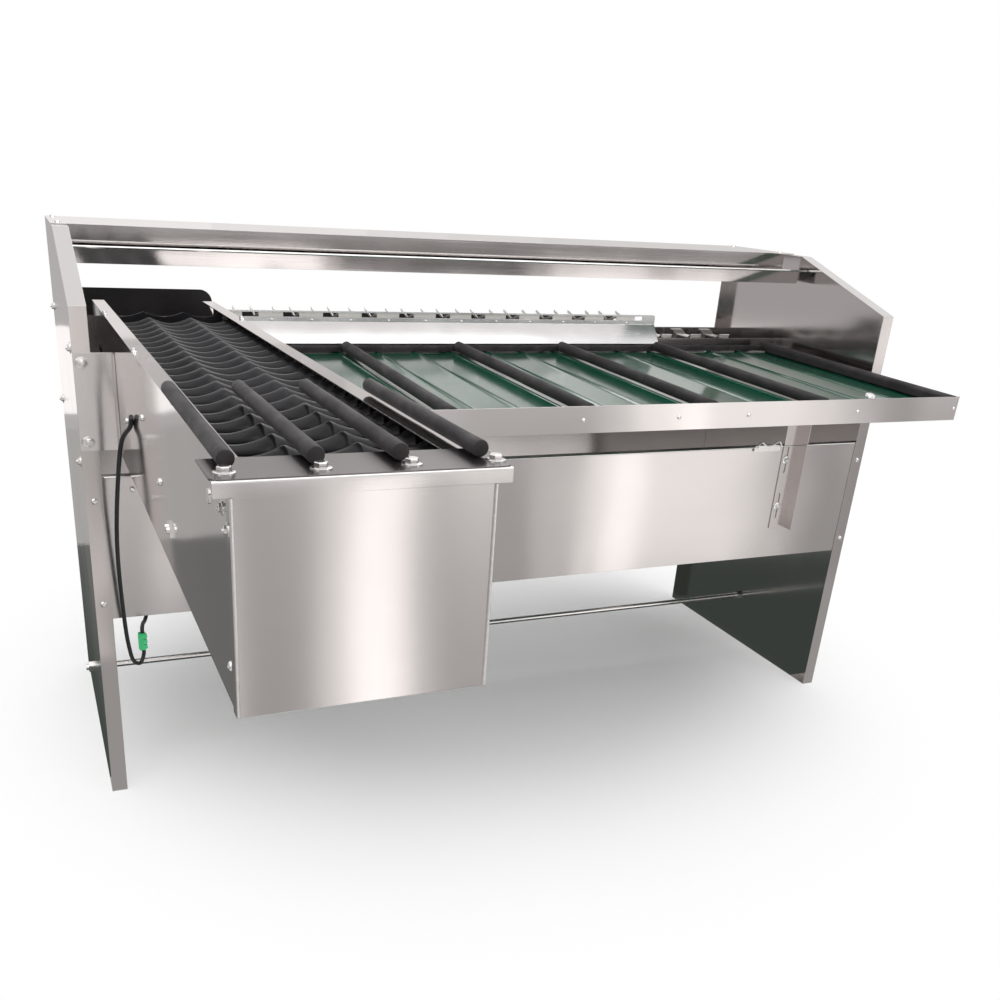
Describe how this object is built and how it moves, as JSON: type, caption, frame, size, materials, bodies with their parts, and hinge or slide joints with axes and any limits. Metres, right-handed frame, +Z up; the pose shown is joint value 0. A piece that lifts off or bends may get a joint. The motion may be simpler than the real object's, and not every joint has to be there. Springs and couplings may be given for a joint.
{
  "type": "egg grading machine",
  "caption": "Three-lane egg grader: roller infeed, walking beam over weigh levers in a trough, and a sloped collecting tray with foam dividers in a folded sheet frame.",
  "frame": {"origin": "on the floor below the middle of the whole machine's box, the free leads left aside", "axes": "+X along the trough towards the right as the operator faces the tray, +Y to the back, +Z up"},
  "size_m": [1.7286, 1.598, 1],
  "materials": {
    "stainless": "brushed stainless steel sheet",
    "ledge_grey": "dark grey brushed steel",
    "black_foam": "matt closed-cell foam",
    "black_plastic": "satin black plastic",
    "green_sheet": "glossy deep green sheet",
    "plug_green": "bright green plastic",
    "lead_black": "satin black cable sheath",
    "motor_grey": "grey machine paint"
  },
  "bodies": {
    "frame": {"side_panel_left": "stainless", "side_panel_right": "stainless", "top_shelf": "stainless", "front_apron": "stainless", "rear_panel": "stainless", "tie_rod": "stainless", "beam_trough": "stainless", "infeed_side_left": "stainless", "infeed_side_right": "stainless", "infeed_front_cover": "stainless", "infeed_ledge": "ledge_grey", "guide_rail_1": "black_foam", "guide_rail_2": "black_foam", "guide_rail_3": "black_foam", "guide_rail_4": "black_foam", "infeed_bracket": "stainless", "end_guard": "black_plastic", "weigh_chute": "stainless", "tray_rim": "stainless", "tray_floor": "green_sheet", "tray_edge_foam": "black_foam", "tray_divider_1": "black_foam", "tray_divider_2": "black_foam", "tray_divider_3": "black_foam", "tray_divider_4": "black_foam", "tray_prop": "stainless", "gearmotor": "motor_grey", "infeed_lead": "lead_black", "lead_plug": "plug_green", "body_lead": "lead_black"},
    "rotor": {"transfer_rotor": "black_plastic"},
    "roller_01": {"feed_roller_01": "black_plastic"},
    "roller_02": {"feed_roller_02": "black_plastic"},
    "roller_03": {"feed_roller_03": "black_plastic"},
    "roller_04": {"feed_roller_04": "black_plastic"},
    "roller_05": {"feed_roller_05": "black_plastic"},
    "roller_06": {"feed_roller_06": "black_plastic"},
    "roller_07": {"feed_roller_07": "black_plastic"},
    "roller_08": {"feed_roller_08": "black_plastic"},
    "roller_09": {"feed_roller_09": "black_plastic"},
    "roller_10": {"feed_roller_10": "black_plastic"},
    "roller_11": {"feed_roller_11": "black_plastic"},
    "roller_12": {"feed_roller_12": "black_plastic"},
    "roller_13": {"feed_roller_13": "black_plastic"},
    "roller_14": {"feed_roller_14": "black_plastic"},
    "roller_15": {"feed_roller_15": "black_plastic"},
    "roller_16": {"feed_roller_16": "black_plastic"},
    "roller_17": {"feed_roller_17": "black_plastic"},
    "roller_18": {"feed_roller_18": "black_plastic"},
    "roller_19": {"feed_roller_19": "black_plastic"},
    "roller_20": {"feed_roller_20": "black_plastic"},
    "roller_21": {"feed_roller_21": "black_plastic"},
    "roller_22": {"feed_roller_22": "black_plastic"},
    "crank_1": {"beam_crank_1": "stainless"},
    "crank_2": {"beam_crank_2": "stainless"},
    "beam": {"walking_beam": "stainless"},
    "lever_1": {"weigh_lever_1": "stainless"},
    "lever_2": {"weigh_lever_2": "stainless"},
    "lever_3": {"weigh_lever_3": "stainless"},
    "lever_4": {"weigh_lever_4": "stainless"}
  },
  "joints": [
    {"name": "rotor_spin", "type": "hinge", "parent": "frame", "child": "rotor", "pos_m": [0, 0.45808, 0.79402], "axis": [1, 0, 0], "continuous": true},
    {"name": "roller_01_spin", "type": "hinge", "parent": "frame", "child": "roller_01", "pos_m": [0, -0.69719, 0.86391], "axis": [1, 0, 0], "continuous": true},
    {"name": "roller_02_spin", "type": "hinge", "parent": "frame", "child": "roller_02", "pos_m": [0, -0.6464, 0.86284], "axis": [1, 0, 0], "continuous": true},
    {"name": "roller_03_spin", "type": "hinge", "parent": "frame", "child": "roller_03", "pos_m": [0, -0.59561, 0.86178], "axis": [1, 0, 0], "continuous": true},
    {"name": "roller_04_spin", "type": "hinge", "parent": "frame", "child": "roller_04", "pos_m": [0, -0.54482, 0.86072], "axis": [1, 0, 0], "continuous": true},
    {"name": "roller_05_spin", "type": "hinge", "parent": "frame", "child": "roller_05", "pos_m": [0, -0.49403, 0.85965], "axis": [1, 0, 0], "continuous": true},
    {"name": "roller_06_spin", "type": "hinge", "parent": "frame", "child": "roller_06", "pos_m": [0, -0.44325, 0.85859], "axis": [1, 0, 0], "continuous": true},
    {"name": "roller_07_spin", "type": "hinge", "parent": "frame", "child": "roller_07", "pos_m": [0, -0.39246, 0.85752], "axis": [1, 0, 0], "continuous": true},
    {"name": "roller_08_spin", "type": "hinge", "parent": "frame", "child": "roller_08", "pos_m": [0, -0.34167, 0.85646], "axis": [1, 0, 0], "continuous": true},
    {"name": "roller_09_spin", "type": "hinge", "parent": "frame", "child": "roller_09", "pos_m": [0, -0.29088, 0.8554], "axis": [1, 0, 0], "continuous": true},
    {"name": "roller_10_spin", "type": "hinge", "parent": "frame", "child": "roller_10", "pos_m": [0, -0.24009, 0.85433], "axis": [1, 0, 0], "continuous": true},
    {"name": "roller_11_spin", "type": "hinge", "parent": "frame", "child": "roller_11", "pos_m": [0, -0.1893, 0.85327], "axis": [1, 0, 0], "continuous": true},
    {"name": "roller_12_spin", "type": "hinge", "parent": "frame", "child": "roller_12", "pos_m": [0, -0.13851, 0.8522], "axis": [1, 0, 0], "continuous": true},
    {"name": "roller_13_spin", "type": "hinge", "parent": "frame", "child": "roller_13", "pos_m": [0, -0.08772, 0.85114], "axis": [1, 0, 0], "continuous": true},
    {"name": "roller_14_spin", "type": "hinge", "parent": "frame", "child": "roller_14", "pos_m": [0, -0.03693, 0.85008], "axis": [1, 0, 0], "continuous": true},
    {"name": "roller_15_spin", "type": "hinge", "parent": "frame", "child": "roller_15", "pos_m": [0, 0.01385, 0.84901], "axis": [1, 0, 0], "continuous": true},
    {"name": "roller_16_spin", "type": "hinge", "parent": "frame", "child": "roller_16", "pos_m": [0, 0.06464, 0.84795], "axis": [1, 0, 0], "continuous": true},
    {"name": "roller_17_spin", "type": "hinge", "parent": "frame", "child": "roller_17", "pos_m": [0, 0.11543, 0.84689], "axis": [1, 0, 0], "continuous": true},
    {"name": "roller_18_spin", "type": "hinge", "parent": "frame", "child": "roller_18", "pos_m": [0, 0.16622, 0.84582], "axis": [1, 0, 0], "continuous": true},
    {"name": "roller_19_spin", "type": "hinge", "parent": "frame", "child": "roller_19", "pos_m": [0, 0.21701, 0.84476], "axis": [1, 0, 0], "continuous": true},
    {"name": "roller_20_spin", "type": "hinge", "parent": "frame", "child": "roller_20", "pos_m": [0, 0.2678, 0.84369], "axis": [1, 0, 0], "continuous": true},
    {"name": "roller_21_spin", "type": "hinge", "parent": "frame", "child": "roller_21", "pos_m": [0, 0.31859, 0.84263], "axis": [1, 0, 0], "continuous": true},
    {"name": "roller_22_spin", "type": "hinge", "parent": "frame", "child": "roller_22", "pos_m": [0, 0.36938, 0.84157], "axis": [1, 0, 0], "continuous": true},
    {"name": "crank_1_turn", "type": "hinge", "parent": "frame", "child": "crank_1", "pos_m": [-0.014, 0.7, 0.7665], "axis": [0, 1, 0], "continuous": true},
    {"name": "crank_2_turn", "type": "hinge", "parent": "frame", "child": "crank_2", "pos_m": [0.581, 0.7, 0.7665], "axis": [0, 1, 0], "continuous": true},
    {"name": "beam_pivot", "type": "hinge", "parent": "crank_1", "child": "beam", "pos_m": [-0.014, 0.687, 0.724], "axis": [0, 1, 0], "continuous": true},
    {"name": "lever_1_rock", "type": "hinge", "parent": "frame", "child": "lever_1", "pos_m": [-0.439, 0.597, 0.698], "axis": [1, 0, 0], "range_deg": [-1.2, 1.2]},
    {"name": "lever_2_rock", "type": "hinge", "parent": "frame", "child": "lever_2", "pos_m": [-0.184, 0.597, 0.698], "axis": [1, 0, 0], "range_deg": [-1.2, 1.2]},
    {"name": "lever_3_rock", "type": "hinge", "parent": "frame", "child": "lever_3", "pos_m": [0.071, 0.597, 0.698], "axis": [1, 0, 0], "range_deg": [-1.2, 1.2]},
    {"name": "lever_4_rock", "type": "hinge", "parent": "frame", "child": "lever_4", "pos_m": [0.326, 0.597, 0.698], "axis": [1, 0, 0], "range_deg": [-1.2, 1.2]}
  ],
  "couplings": [
    {"joint": "roller_01_spin", "follows": "rotor_spin", "ratio": 3.4042},
    {"joint": "roller_02_spin", "follows": "rotor_spin", "ratio": 3.4042},
    {"joint": "roller_03_spin", "follows": "rotor_spin", "ratio": 3.4042},
    {"joint": "roller_04_spin", "follows": "rotor_spin", "ratio": 3.4042},
    {"joint": "roller_05_spin", "follows": "rotor_spin", "ratio": 3.4042},
    {"joint": "roller_06_spin", "follows": "rotor_spin", "ratio": 3.4042},
    {"joint": "roller_07_spin", "follows": "rotor_spin", "ratio": 3.4042},
    {"joint": "roller_08_spin", "follows": "rotor_spin", "ratio": 3.4042},
    {"joint": "roller_09_spin", "follows": "rotor_spin", "ratio": 3.4042},
    {"joint": "roller_10_spin", "follows": "rotor_spin", "ratio": 3.4042},
    {"joint": "roller_11_spin", "follows": "rotor_spin", "ratio": 3.4042},
    {"joint": "roller_12_spin", "follows": "rotor_spin", "ratio": 3.4042},
    {"joint": "roller_13_spin", "follows": "rotor_spin", "ratio": 3.4042},
    {"joint": "roller_14_spin", "follows": "rotor_spin", "ratio": 3.4042},
    {"joint": "roller_15_spin", "follows": "rotor_spin", "ratio": 3.4042},
    {"joint": "roller_16_spin", "follows": "rotor_spin", "ratio": 3.4042},
    {"joint": "roller_17_spin", "follows": "rotor_spin", "ratio": 3.4042},
    {"joint": "roller_18_spin", "follows": "rotor_spin", "ratio": 3.4042},
    {"joint": "roller_19_spin", "follows": "rotor_spin", "ratio": 3.4042},
    {"joint": "roller_20_spin", "follows": "rotor_spin", "ratio": 3.4042},
    {"joint": "roller_21_spin", "follows": "rotor_spin", "ratio": 3.4042},
    {"joint": "roller_22_spin", "follows": "rotor_spin", "ratio": 3.4042},
    {"joint": "crank_2_turn", "follows": "crank_1_turn", "ratio": 1},
    {"joint": "beam_pivot", "follows": "crank_1_turn", "ratio": -1}
  ]
}
